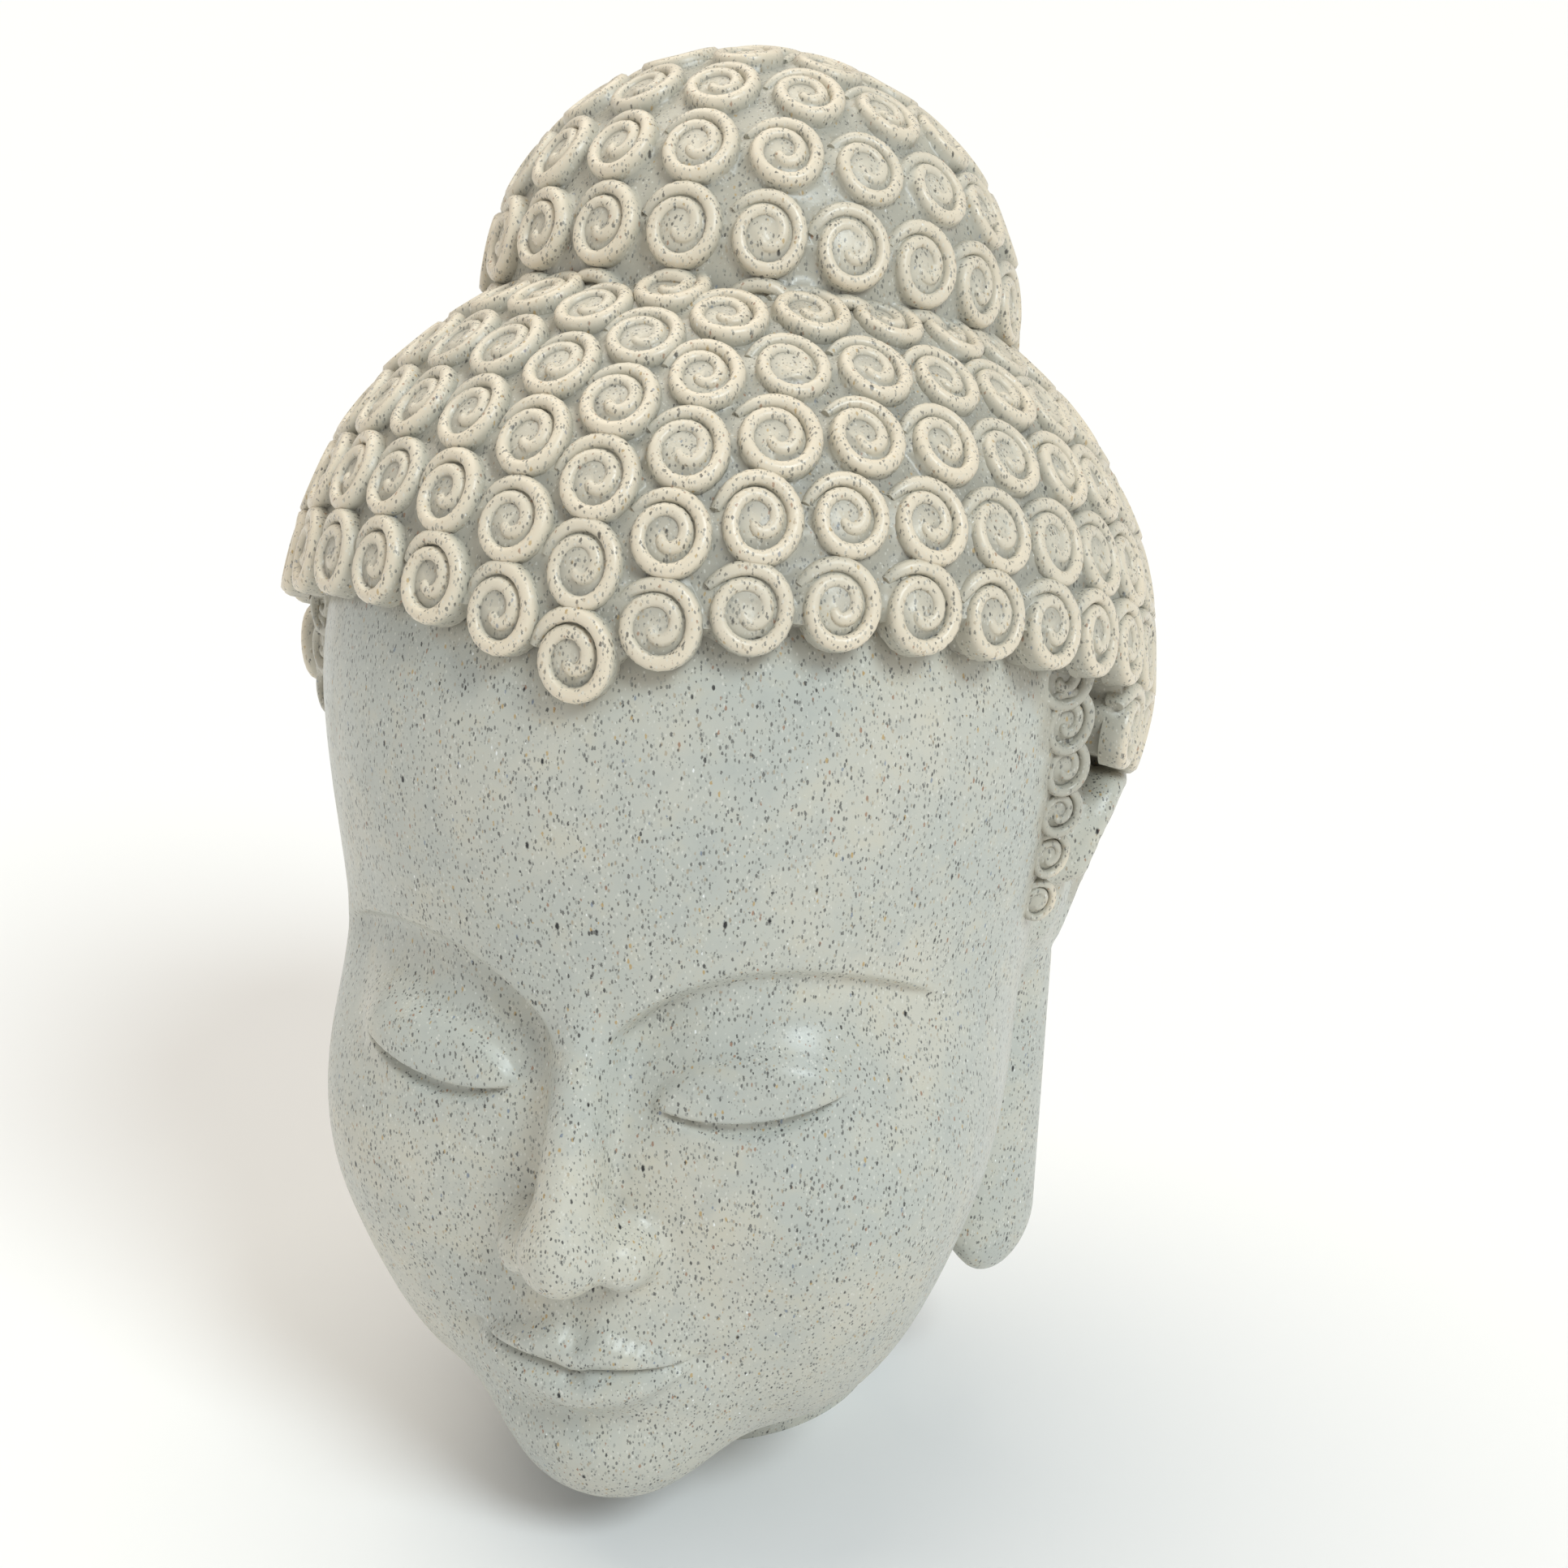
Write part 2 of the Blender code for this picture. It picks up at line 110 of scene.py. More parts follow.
# How far the curls differ: size, rise in parts, turn in degrees, oval and three-sided
# shares of the reach, and slope across and up
SEED = 27
SIZES = (0.965, 1.03)
RISES = (-0.25, 0.25)
TWISTS = (-12, 12)
OVALS = (-0.03, 0.03)
THREE_SIDES = (-0.015, 0.015)
SLOPES = ((-0.03, 0.03), (-0.05, 0.01))

# How fast the ground falls away under a curl, in parts by parts squared
SCALP_BEND = 1 / 190
TEMPLE_BEND = 1 / 160
BUN_BEND = 1 / 112

# Where hair ends, in radii from the nearest and the third nearest curl, and how far
# from the bun, in parts
CURL_EDGE = 1.06
GAP_EDGE = 2.08
FAR_EDGE = 1.4
BUN_EDGE = 7
BUN_FADE = 8

# Fineness: grid of the skin, steps in a coil, splits of hair beds and bosses
SKIN_GRID = ((250, 440))
COIL_STEPS = 40
BED_SPLITS = 6
BOSS_SPLITS = 3
SKIN_TRIANGLES = 62000
MOST_TRIANGLES = 196000
CRUMB_POINTS = 500          # a loose bit with fewer points is dropped
SHARP_ANGLE = 62

HEART = np.array([0.0, 0.0, 115.0])          # the skin's lines are cast toward it
UP_THE_HEAD = np.array([0.0, 0.35, 0.94])    # from any curl toward the crown
EAR_HOLLOW = ((80, 9, 138), (14, 22, 26))    # middle and half-sizes
EAR_PASSES = 4
BURIED = 22.0               # how deep a hair bed lies under bare skin


def lean(points, degrees):
    """Turn points back about the X axis."""
    c, s = math.cos(math.radians(degrees)), math.sin(math.radians(degrees))
    x, y, z = points[:, 0], points[:, 1], points[:, 2]
    return np.stack([x, y * c + z * s, z * c - y * s], axis=1)


def ellipsoid(p, middle, radii, lean_back=0.0):
    """Roughly the distance from an ellipsoid, below zero inside."""
    q = lean(p - np.array(middle, float), -lean_back)
    r = np.array(radii, float)
    near = np.linalg.norm(q / r, axis=1)
    steep = np.linalg.norm(q / (r * r), axis=1)
    return near * (near - 1) / np.maximum(steep, 1e-9)


def rod(p, start, end, start_radius, end_radius, squeeze=(1, 1, 1)):
    """Distance from a tapered round rod, thinner along each axis by its squeeze."""
    s = np.array(squeeze, float)
    a = np.array(start, float) * s
    d = np.array(end, float) * s - a
    q = p * s - a
    t = np.clip(q @ d / (d @ d), 0, 1)
    radius = start_radius + (end_radius - start_radius) * t
    return (np.linalg.norm(q - t[:, None] * d, axis=1) - radius) / s.max()


def join(a, b, soft):
    """Union of two forms with a soft fillet between them."""
    t = np.clip(0.5 + 0.5 * (b - a) / soft, 0, 1)
    return b * (1 - t) + a * t - soft * t * (1 - t)


def carve(a, b, soft):
    """Form a with form b taken out of it."""
    return -join(-a, b, soft)


def ramp(v, soft):
    """Nought to one through zero, over about four times soft."""
    return 1 / (1 + np.exp(-np.clip(v / soft, -30, 30)))


def hump(v):
    """A bell of height one at zero."""
    return np.exp(-v * v)


def head_form(m):
    """Skull, cheeks, jaw, chin and muzzle without any features."""
    f = ellipsoid(m, SCALP_MIDDLE, (83, 98, 79), SCALP_LEAN)
    f = join(f, ellipsoid(m, (0, -10, 166), (76, 82, 66)), 16)
    f = join(f, ellipsoid(m, (0, -20, 106), (73, 69, 92)), 22)
    f = join(f, ellipsoid(m, (36, -50, 86), (29, 31, 36)), 24)
    f = join(f, ellipsoid(m, (26, -40, 50), (26, 30, 28)), 22)
    f = join(f, ellipsoid(m, (0, -67, 30.5), (23, 20.5, 20)), 16)
    return join(f, ellipsoid(m, (0, -64, 56), (28, 25, 24)), 18)


def neck_form(m):
    """The neck, which tapers to the flat cut and has a slightly rounded rim."""
    up = np.clip(m[:, 2], -30, 70)
    half_width = NECK_WIDTH / 2 + 13 * (1 - np.exp(-up / 38))
    half_depth = half_width * NECK_DEPTH / NECK_WIDTH
    back = m[:, 1] - NECK_SET_BACK
    round_it = (np.hypot(m[:, 0] / half_width, back / half_depth) - 1) * half_width
    return np.maximum(round_it, m[:, 2] - 110)


def brow_line(x):
    """Height of the brow's edge, an arch from the nose to the temple."""
    return 140 - np.where(x < 35, 14 * ((35 - x) / 28) ** 2, 11 * ((x - 35) / 29) ** 2)


def eye_relief(x, z):
    """Brow hollow, heavy upper lid, the narrow sight under it and the lower lid."""
    below = brow_line(x) - z
    along = ramp(x - 7, 1.2) * ramp(61 - x, 2.2)
    deep = 3.0 + 3.2 * hump((x - 13) / 9)
    h = -deep * along * ramp(below, 0.6) * hump(np.maximum(below, 0) / 17)
    s = (x - 33) / 18.5
    opening = np.clip(1 - s * s, 0, 1)
    edge = 110.4 + 2.0 * s + 3.4 * s * s
    low = edge - 2.9 * opening ** 1.1
    crease = edge + 1.2 + 11.5 * opening ** 0.8
    inside = ramp(1 - np.abs(s), 0.035)
    h += 2.0 * inside * ramp(z - edge, 0.22) * ramp(crease - z, 0.7)
    h += 0.9 * inside * ramp(low - z, 0.3) * hump(np.maximum(low - z, 0) / 4.5)
    return h - 0.9 * inside * ramp(edge - z, 0.28) * ramp(z - low, 0.3)


def mouth_relief(x, z):
    """Full closed lips with the groove above them and the hollow over the chin."""
    h = -1.1 * hump(x / 3.2) * ramp(z - 61.5, 1.2) * ramp(72 - z, 1.5)
    h -= 3.0 * hump(x / 15) * hump((z - 38.0) / 5.5)
    u = np.clip(x / 24.0, 0, 1)
    line = 53.0 + 2.0 * u * u - 0.9 * hump(u / 0.14)
    top = line + 8.4 * (1 - u ** 1.6) - 1.5 * hump(u / 0.13) + 0.5 * hump((u - 0.26) / 0.14)
    bottom = line - 9.8 * (1 - u ** 2.2)
    over = np.clip((z - line) / np.maximum(top - line, 0.5), 0, 1.6)
    under = np.clip((line - z) / np.maximum(line - bottom, 0.5), 0, 1.6)
    fade = np.clip(1 - u ** 3, 0, 1)
    upper = 3.4 * fade * ramp(1.0 - over, 0.10) * (1 - hump(over / 0.30) * 0.55)
    lower = 4.2 * fade * ramp(0.92 - under, 0.14) * (1 - hump(under / 0.30) * 0.55)
    h += np.where(z > line, upper, lower)
    h -= 1.2 * hump((z - line) / 1.0) * ramp(24.5 - x, 1.2)
    return h - 1.1 * hump((x - 26.0) / 4.5) * hump((z - 55.2) / 5.0)


def nose_form(m):
    """A straight nose with a soft ridge, a round tip and small wings."""
    f = rod(m, (0, -80, 134), (0, -96.5, 87), 7.6, 11.2, (1.6, 1, 1))
    f = join(f, ellipsoid(m, (0, -97.5, 84.0), (9.4, 10.6, 8.8)), 4)
    return join(f, ellipsoid(m, (10.2, -89.5, 80.4), (6.2, 9.4, 7.2)), 3.2)


def ear_arc(q, reach, drop, radius, inset):
    """A round ridge along the curve of the upper ear, from front top to back bottom."""
    bend = np.radians(np.linspace(168, -62, 11))
    y = 9.5 + reach * np.cos(bend)
    z = 136 + drop * np.sin(bend)
    x = 80.5 - inset + 0.33 * (z - 136)
    knots = np.stack([x, y, z], axis=1)
    f = rod(q, knots[0], knots[1], radius, radius)
    for one, other in zip(knots[1:], knots[2:]):
        f = np.minimum(f, rod(q, one, other, radius, radius))
    return f


def ear_form(m):
    """Rim, inner ridge, hollow and the long smooth lobe of an ear."""
    q = m - np.array([EAR_STANDS - 7, 0, 0])
    plate = rod(q, (78, 9.5, 146), (71, 9.5, 120), 14.0, 10.5, (2.1, 1, 1))
    f = join(plate, ear_arc(q, 13.0, 20.5, 3.5, 0), 1.5)
    f = carve(f, ellipsoid(q, (86.0, 8.5, 137), (8.0, 8.5, 14)), 2)
    f = join(f, ear_arc(q, 6.5, 13.5, 2.1, 2.6), 1.5)
    f = join(f, rod(q, (75.5, 0, 131), (74.0, -1, 124), 3.6, 3.2), 2.5)
    # the lobe's broad face looks outward and a little to the front
    turn = math.radians(24)
    across = q[:, 0] * math.sin(turn) + q[:, 1] * math.cos(turn)
    through = q[:, 0] * math.cos(turn) - q[:, 1] * math.sin(turn)
    flat = np.stack([through, across, q[:, 2]], axis=1)
    lobe = rod(flat, (61.0, 37.0, 112), (58.5, 35.0, 48), 9.5, 14.0, (2.3, 1, 1))
    return join(f, lobe, 2.0)


def skin_form(p):
    """The whole bald head with its features, by distance from its surface."""
    m = np.stack([np.abs(p[:, 0]), p[:, 1], p[:, 2]], axis=1)
    f = join(head_form(m), neck_form(m), 12)
    f = join(f, ellipsoid(m, (51, 14, 78), (14, 15, 42)), 10)
    f = join(f, ellipsoid(m, (33, -64.5, 117), (21.5, 19.5, 17.0)), 2.5)
    front = ramp(-30 - m[:, 1], 3.0)
    f = f - front * (eye_relief(m[:, 0], m[:, 2]) + mouth_relief(m[:, 0], m[:, 2]))
    f = join(f, nose_form(m), 4.5)
    f = carve(f, ellipsoid(m, (6.0, -94.0, 72.8), (3.2, 6.0, 3.0)), 1.6)
    return join(f, ear_form(m), 2.5)


def cast(heart, directions, form, far=190.0, steps=40):
    """Where straight lines toward the heart first meet a form."""
    reach = np.full(len(directions), far)
    for _ in range(steps):
        reach -= 0.85 * form(heart + directions * reach[:, None])
    return heart + directions * reach[:, None]


def on_ellipsoid(azimuth, latitude, middle, radii, lean_back):
    """Points and outward normals at angles in degrees, azimuth from the front."""
    a, b = np.radians(azimuth), np.radians(latitude)
    unit = np.stack([np.cos(b) * np.sin(a), -np.cos(b) * np.cos(a), np.sin(b)], axis=1)
    normal = unit / radii
    normal /= np.linalg.norm(normal, axis=1)[:, None]
    return middle + lean(unit * radii, lean_back), lean(normal, lean_back)


def hairline(azimuth):
    """Latitude of the first row: level round the head, dipping over the forehead."""
    off = np.abs((azimuth + 180) % 360 - 180)
    return FIRST_ROW - FRONT_DIP * np.exp(-off / 20.0)


def row_places(start, latitude_at, middle, radii, lean_back):
    """Evenly pitched azimuths along a row, from start round the back to minus start."""
    fine = np.linspace(start, 360 - start, 1441)
    points, _ = on_ellipsoid(fine, latitude_at(fine), middle, radii, lean_back)
    run = np.concatenate([[0], np.cumsum(np.linalg.norm(np.diff(points, axis=0), axis=1))])
    count = max(2, round(run[-1] / CURL_ACROSS))
    stops = np.linspace(0, run[-1], count + 1)
    if start == 0:
        stops = stops[:-1]
    return np.interp(stops, run, fine)


def scalp_curls():
    """Middle, normal and size of every curl on the scalp."""
    places, normals = [], []
    for row in range(-len(LOW_ROW_STARTS), TOP_ROWS):
        start = 0 if row >= 0 else LOW_ROW_STARTS[-row - 1]
        raised = row * ROW_STEP

        def latitude_at(azimuth):
            return hairline(azimuth) + raised

        azimuth = row_places(start, latitude_at, *SCALP)
        middle, normal = on_ellipsoid(azimuth, latitude_at(azimuth), *SCALP)
        clear = ellipsoid(middle, *BUN) > -1.0
        places.append(middle[clear])
        normals.append(normal[clear])
    places, normals = np.concatenate(places), np.concatenate(normals)
    return places, normals, np.full(len(places), CURL_ACROSS)


def temple_curls():
    """The small curls that run down before each ear."""
    t = np.linspace(0, 1, TEMPLE_CURLS)
    azimuth = TEMPLE_AZIMUTH[0] + TEMPLE_AZIMUTH[1] * t
    latitude = TEMPLE_LATITUDE[0] + TEMPLE_LATITUDE[1] * t
    toward, _ = on_ellipsoid(azimuth, latitude, np.zeros(3), SCALP_RADII, SCALP_LEAN)
    toward /= np.linalg.norm(toward, axis=1)[:, None]
    middle = cast(SCALP_MIDDLE, toward, skin_form)
    normal = toward * np.array([1, 1.5, 0.2]) + np.array([0, -0.45, 0])
    normal /= np.linalg.norm(normal, axis=1)[:, None]
    size = (TEMPLE_SIZE[0] + TEMPLE_SIZE[1] * t) * CURL_ACROSS
    mirror = np.array([-1, 1, 1])
    return (np.concatenate([middle, middle * mirror]),
            np.concatenate([normal, normal * mirror]), np.concatenate([size, size]))


def bun_curls():
    """Middle, normal and size of every curl on the bun."""
    places, normals = [], []
    for latitude in BUN_ROWS:

        def latitude_at(azimuth):
            return np.full(len(azimuth), float(latitude))

        azimuth = row_places(0, latitude_at, *BUN)
        middle, normal = on_ellipsoid(azimuth, latitude_at(azimuth), *BUN)
        places.append(middle)
        normals.append(normal)
    places, normals = np.concatenate(places), np.concatenate(normals)
    return places, normals, np.full(len(places), CURL_ACROSS)


def to_metres(points):
    """From parts about the middle of the head to metres about the neck's cut."""
    return (points - np.array([0, NECK_SET_BACK, 0])) * PART


def skin_mesh():
    """The bald head as a fine grid of cast points, closest together on the face."""
    half, rows = SKIN_GRID
    u = np.linspace(0, 1, half + 1)
    azimuth = math.pi * (0.5 * u + 0.5 * u ** 3)
    polar = np.linspace(0, math.pi, rows + 2)[1:-1]
    a, b = np.meshgrid(azimuth, polar)
    grid = np.stack([np.sin(b) * np.sin(a), -np.sin(b) * np.cos(a), np.cos(b)], axis=-1)
    right = cast(HEART, grid.reshape(-1, 3), skin_form).reshape(rows, half + 1, 3)
    left = right[:, half - 1:0:-1] * np.array([-1, 1, 1])
    points = np.concatenate([right, left], axis=1)
    rounds = points.shape[1]
    i, j = np.meshgrid(np.arange(rows - 1), np.arange(rounds), indexing="ij")
    k = (j + 1) % rounds
    quads = np.stack([i * rounds + j, (i + 1) * rounds + j,
                      (i + 1) * rounds + k, i * rounds + k], axis=-1)
    top = list(range(rounds))
    bottom = list(range((rows - 1) * rounds, rows * rounds))[::-1]
    faces = quads.reshape(-1, 4).tolist() + [top, bottom]
    return closed_mesh("skin", points.reshape(-1, 3), faces)


def closed_mesh(name, points, faces):
    """A mesh in metres from points in parts, all its faces turned outward."""
    mesh = bpy.data.meshes.new(name)
    mesh.from_pydata(to_metres(points).tolist(), [], faces)
    bm = bmesh.new()
    bm.from_mesh(mesh)
    bmesh.ops.triangulate(bm, faces=[f for f in bm.faces if len(f.verts) > 3])
    bmesh.ops.recalc_face_normals(bm, faces=bm.faces[:])
    bm.to_mesh(mesh)
    bm.free()
    return mesh


def smooth_ears(mesh):
    """Ease the grid's steps in the hollows of the ears, which lines cast at a slant."""
    bm = bmesh.new()
    bm.from_mesh(mesh)
    middle, reach = EAR_HOLLOW
    ear = [v for v in bm.verts
           if abs(abs(v.co.x) / PART - middle[0]) < reach[0]
           and abs(v.co.y / PART + NECK_SET_BACK - middle[1]) < reach[1]
           and abs(v.co.z / PART - middle[2]) < reach[2]]
    for _ in range(EAR_PASSES):
        bmesh.ops.smooth_vert(bm, verts=ear, factor=0.5, use_axis_x=True,
                              use_axis_y=True, use_axis_z=True)
    bm.to_mesh(mesh)
    bm.free()


def cut_flat(mesh):
    """Take off what lies below the neck's cut and close it with one flat face."""
    bm = bmesh.new()
    bm.from_mesh(mesh)
    geometry = bm.verts[:] + bm.edges[:] + bm.faces[:]
    cut = bmesh.ops.bisect_plane(bm, geom=geometry, dist=1e-6, plane_co=(0, 0, 0),
                                 plane_no=(0, 0, 1), clear_inner=True)
    rim = [e for e in cut["geom_cut"] if isinstance(e, bmesh.types.BMEdge)]
    bmesh.ops.contextual_create(bm, geom=rim)
    bmesh.ops.recalc_face_normals(bm, faces=bm.faces[:])
    bm.to_mesh(mesh)
    bm.free()


def as_seen(obj):
    """The object's mesh with its modifiers worked in."""
    seen = obj.evaluated_get(bpy.context.evaluated_depsgraph_get())
    return bpy.data.meshes.new_from_object(seen)


def thinned(mesh, triangles):
    """The same mesh in fewer triangles, the flat stretches first."""
    count = sum(len(f.vertices) - 2 for f in mesh.polygons)
    if count <= triangles:
        return mesh
    full = bpy.data.objects.new("full", mesh)
    bpy.context.scene.collection.objects.link(full)
    fewer = full.modifiers.new("fewer", "DECIMATE")
    fewer.ratio = triangles / count
    fewer.use_collapse_triangulate = True
    thin = as_seen(full)
    bpy.data.objects.remove(full)
    return thin


def nearness(points, curls):
    """Distance to the nearest and third nearest curl, in radii of those curls."""
    middle, _, size = curls
    tree = kdtree.KDTree(len(middle))
    for k, co in enumerate(middle):
        tree.insert(co, k)
    tree.balance()
    first, third = np.empty(len(points)), np.empty(len(points))
    for n, co in enumerate(points):
        found = tree.find_n(co, 3)
        first[n] = found[0][2] / (0.5 * size[found[0][1]])
        third[n] = found[2][2] / (0.5 * size[found[2][1]])
    return first, third


def bare(first, third, points):
    """Above zero where no hair grows: past the edge curls and away from the bun."""
    edge = np.minimum(first - CURL_EDGE, np.maximum(third - GAP_EDGE, first - FAR_EDGE))
    return np.minimum(edge, (ellipsoid(points, *BUN) - BUN_EDGE) / BUN_FADE)


def ball(splits):
    """Points and faces of a round ball of radius one."""
    bm = bmesh.new()
    bmesh.ops.create_icosphere(bm, subdivisions=splits, radius=1.0)
    bm.verts.ensure_lookup_table()
    points = np.array([v.co for v in bm.verts])
    faces = [[v.index for v in f.verts] for f in bm.faces]
    bm.free()
    return points, faces


def hair_bed(name, curls, shape):
    """The ground that curls stand on, with a low boss in each, buried where none grow."""
    middle, radii, lean_back = shape
    unit, faces = ball(BED_SPLITS)
    place = middle + lean(unit * radii, lean_back)
    outward = unit / radii
    outward /= np.linalg.norm(outward, axis=1)[:, None]
    outward = lean(outward, lean_back)
    first, third = nearness(place, curls)
    level = BED_RISE + BOSS_RISE * np.clip(1 - first ** 2, 0, 1) ** 0.6
    level -= BURIED * ramp(bare(first, third, place), 0.04)
    return closed_mesh(name, place + level[:, None] * outward, faces)


def coil_path():
    """Turn, reach, half width and crest of a coil from loose end to middle."""
    u = np.linspace(0, 1, COIL_STEPS)
    turn = TURNS * u ** 1.15
    reach = OUTER_REACH - (OUTER_REACH - INNER_REACH) * (turn / TURNS) ** WIND_IN
    reach += TAIL_FLARE * np.exp(-turn / TAIL_TURN)
    taper = 1 - np.exp(-(turn + 0.012) / 0.09)
    width = np.interp(turn, *COIL_WIDTHS) * (0.55 + 0.45 * taper)
    crest = (1 - CENTRE_DIP * turn / TURNS) * (0.40 + 0.60 * taper)
    return turn, reach, width, crest


def coil(middle, outward, size, bend, draw):
    """One wound curl as a closed tube with a rounded tip at its middle."""
    radius = 0.5 * size * draw.uniform(*SIZES)
    rise = CURL_RISE * (size / CURL_ACROSS) ** 0.8 + draw.uniform(*RISES)
    twist = draw.uniform(*TWISTS)
    up = UP_THE_HEAD - outward * (UP_THE_HEAD @ outward)
    up /= np.linalg.norm(up)
    right = np.cross(up, outward)
    turn, reach, width, crest = coil_path()
    angle = np.radians(COIL_START + twist - 360 * turn)
    reach = reach * (1 + draw.uniform(*OVALS) * np.cos(2 * angle)
                     + draw.uniform(*THREE_SIDES) * np.cos(3 * angle))
    flat = np.stack([np.cos(angle), np.sin(angle)], axis=1) * np.array(COIL_SPREAD)
    flat = radius * (flat * reach[:, None] - np.array([0, COIL_DROP]))
    slope = np.array([draw.uniform(*limits) for limits in SLOPES])
    along = np.gradient(flat, axis=0)
    along /= np.linalg.norm(along, axis=1)[:, None]
    width = width * radius
    crest = crest * rise
    tip = flat[-1] + along[-1] * (width[-1] * np.sin(COIL_TIP))[:, None]
    flat = np.concatenate([flat, tip])
    along = np.concatenate([along, np.repeat(along[-1:], len(tip), axis=0)])
    crest = np.concatenate([crest, crest[-1] - width[-1] * (1 - np.cos(COIL_TIP))])
    width = np.concatenate([width, width[-1] * np.cos(COIL_TIP)])
    side = np.stack([-along[:, 1], along[:, 0]], axis=1)
    rings = []
    for k in range(len(flat)):
        level = crest[k] - COIL_FALL * width[k]
        level[[0, -1]] = COIL_ROOT
        spot = flat[k] + side[k] * (COIL_SIDES * width[k])[:, None]
        level = level - (spot ** 2).sum(axis=1) * bend + spot @ slope
        rings.append(middle + spot[:, :1] * right + spot[:, 1:] * up
                     + level[:, None] * outward)
    count = len(COIL_SIDES)
    faces = []
    for k in range(len(rings) - 1):
        for j in range(count):
            n = (j + 1) % count
            faces.append([k * count + j, k * count + n,
                          (k + 1) * count + n, (k + 1) * count + j])
    last = (len(rings) - 1) * count
    faces.append(list(range(count))[::-1])
    faces.append(list(range(last, last + count)))
    return np.concatenate(rings), faces


def groups_apart(curls):
    """Curls sorted into groups in which none touches another."""
    middle, _, size = curls
    groups = []
    for k in range(len(middle)):
        for group in groups:
            gaps = np.linalg.norm(middle[group] - middle[k], axis=1)
            if (gaps > COIL_GAP * 0.5 * (size[group] + size[k])).all():
                group.append(k)
                break
        else:
            groups.append([k])
    return groups


def coil_meshes(curls, bends):
    """Every coil, in a few closed meshes whose coils stand clear of each other."""
    middle, outward, size = curls
    draw = random.Random(SEED)
    coils = [coil(middle[k], outward[k], size[k], bends[k], draw)
             for k in range(len(middle))]
    meshes = []
    for number, group in enumerate(groups_apart(curls)):
        points, faces = [], []
        for k in group:
            shift = sum(len(p) for p in points)
            points.append(coils[k][0])
            faces += [[shift + c for c in face] for face in coils[k][1]]
        meshes.append(closed_mesh(f"coils_{number}", np.concatenate(points), faces))
    return meshes


def temple_bosses(curls):
    """A low boss under each temple curl, which stands on bare skin."""
    unit, around = ball(BOSS_SPLITS)
    middle, outward, size = curls
    meshes = []
    for number, group in enumerate(groups_apart(curls)):
        points, faces = [], []
        for k in group:
            n = outward[k]
            right = np.cross(UP_THE_HEAD, n)
            right /= np.linalg.norm(right)
            up = np.cross(n, right)
            wide, high = 0.40 * size[k], 0.52 * CURL_RISE
            shift = len(unit) * len(points)
            points.append(middle[k] + wide * (unit[:, :1] * right + unit[:, 1:2] * up)
                          + high * unit[:, 2:] * n)
            faces += [[shift + c for c in face] for face in around]
        meshes.append(closed_mesh(f"bosses_{number}", np.concatenate(points), faces))
    return meshes


def all_curls():
    """The curls of scalp, temples and bun, and how each one's ground falls away."""
    scalp, temples, bun = scalp_curls(), temple_curls(), bun_curls()
    everything = [np.concatenate(parts) for parts in zip(scalp, temples, bun)]
    bends = ([SCALP_BEND] * len(scalp[0]) + [TEMPLE_BEND] * len(temples[0])
             + [BUN_BEND] * len(bun[0]))
    return scalp, temples, bun, everything, bends


def joined(head, forms):
    """The head with every form joined to it in one closed skin."""
    for form in forms:
        helper = bpy.data.objects.new(form.name, form)
        bpy.context.scene.collection.objects.link(helper)
        union = head.modifiers.new(form.name, "BOOLEAN")
        union.operation = "UNION"
        union.solver = "MANIFOLD"
        union.object = helper
    mesh = as_seen(head)
    for union in list(head.modifiers):
        bpy.data.objects.remove(union.object)
    head.modifiers.clear()
    return mesh


def without_crumbs(mesh):
    """Drop the few tiny closed bits that the joins leave behind."""
    bm = bmesh.new()
    bm.from_mesh(mesh)
    found, crumbs = set(), []
    for seed in bm.verts:
        if seed in found:
            continue
        bit, waiting = {seed}, [seed]
        while waiting:
            for edge in waiting.pop().link_edges:
                for vert in edge.verts:
                    if vert not in bit:
                        bit.add(vert)
                        waiting.append(vert)
        found |= bit
        if len(bit) < CRUMB_POINTS:
            crumbs += list(bit)
    bmesh.ops.delete(bm, geom=crumbs, context="VERTS")
    bm.to_mesh(mesh)
    bm.free()


def note(mesh, name, values):
    """Store a number at each corner point for the stone to use."""
    layer = mesh.attributes.new(name, "FLOAT", "POINT")
    layer.data.foreach_set("value", np.asarray(values, dtype=np.float32))


def hollows(mesh, rounds=2):
    """How deep each point lies in a crease, below zero on ridges."""
    count = len(mesh.vertices)
    co = np.empty(count * 3)
    mesh.vertices.foreach_get("co", co)
    co = co.reshape(-1, 3)
    ends = np.empty(len(mesh.edges) * 2, dtype=np.int64)
    mesh.edges.foreach_get("vertices", ends)
    ends = ends.reshape(-1, 2)
    both = np.concatenate([ends, ends[:, ::-1]])
    touching = np.bincount(both[:, 0], minlength=count)
    normal = np.empty(count * 3)
    mesh.vertex_normals.foreach_get("vector", normal)
    normal = normal.reshape(-1, 3)
    arm = co[both[:, 1]] - co[both[:, 0]]
    span = np.linalg.norm(arm, axis=1) + 1e-9
    slope = (arm * normal[both[:, 0]]).sum(axis=1) / span
    bent = np.bincount(both[:, 0], slope, count) / np.maximum(touching, 1)
    for _ in range(rounds):
        mean = np.bincount(both[:, 0], bent[both[:, 1]], count) / np.maximum(touching, 1)
        bent = 0.5 * bent + 0.5 * mean
    return bent


